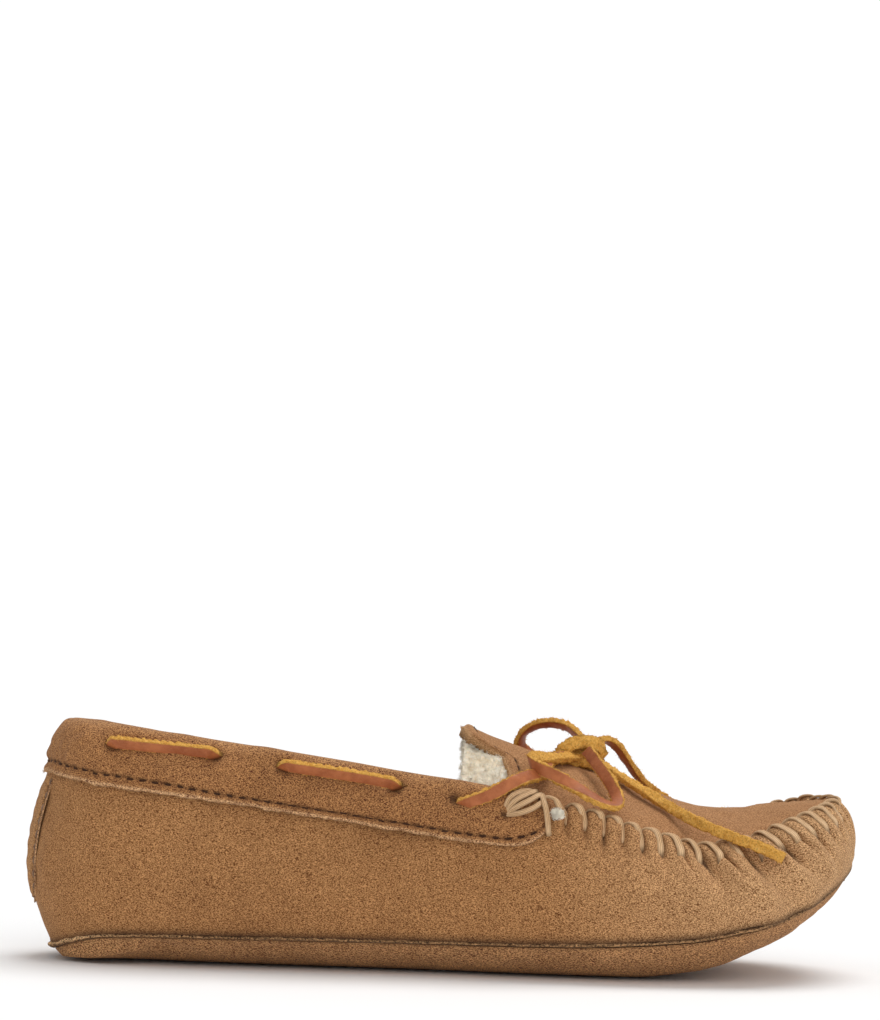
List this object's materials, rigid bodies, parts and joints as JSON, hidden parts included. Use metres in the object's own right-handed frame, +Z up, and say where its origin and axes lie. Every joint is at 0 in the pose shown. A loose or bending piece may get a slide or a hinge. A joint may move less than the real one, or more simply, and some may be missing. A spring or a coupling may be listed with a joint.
{
  "type": "moccasin",
  "caption": "Right-foot soft-sole slipper moccasin: suede wall puckered to a whip-stitched plug, folded collar threaded with a leather lace tied in a bow, fleece lining.",
  "frame": {"origin": "on the floor, below the middle of the shoe's box", "axes": "+X to the toe, -Y the outer (lateral) side, +Z up"},
  "size_m": [0.2651, 0.0979, 0.0811],
  "materials": {
    "suede": "napped tan suede with fine fuzz and hand marks",
    "collar_suede": "napped suede, slightly darker, raw cut edge",
    "patch_suede": "napped suede",
    "sole_suede": "suede outsole, napped, a little darker",
    "welt_suede": "raw edge of thin suede strip",
    "fleece": "cream curly pile fleece",
    "foam": "matt closed-cell foam",
    "lace_leather": "rawhide thong, smooth brown face, ochre rough-cut edges and back",
    "waxed_thread": "flat waxed thread, natural tan",
    "sewing_thread": "dark brown twisted sewing thread"
  },
  "bodies": {
    "shoe": {"bar_tack_lateral": "waxed_thread", "bar_tack_medial": "waxed_thread", "collar": "collar_suede", "collar_stitches": "sewing_thread", "heel_patch": "patch_suede", "heel_patch_stitches": "sewing_thread", "insole_fleece": "fleece", "lace_collar_run": "lace_leather", "lace_knot": "lace_leather", "lace_loop_lateral": "lace_leather", "lace_loop_medial": "lace_leather", "lace_strand_lateral": "lace_leather", "lace_strand_medial": "lace_leather", "lace_tail_lateral": "lace_leather", "lace_tail_medial": "lace_leather", "midsole_pad": "foam", "outsole": "sole_suede", "plug": "suede", "plug_lining": "fleece", "quarter_lining": "fleece", "sole_welt": "welt_suede", "vamp": "suede", "vamp_lining": "fleece", "whip_stitches": "waxed_thread"},
    "tongue": {"tongue_flap": "suede", "tongue_lining": "fleece", "tongue_binding": "suede", "tongue_stitches": "sewing_thread"}
  },
  "joints": [
    {"name": "tongue_bend", "type": "hinge", "parent": "shoe", "child": "tongue", "pos_m": [0.02125, 0, 0.0716], "axis": [0, 1, 0], "range_deg": [0, 25], "stiffness_Nm_per_rad": 0.02}
  ]
}
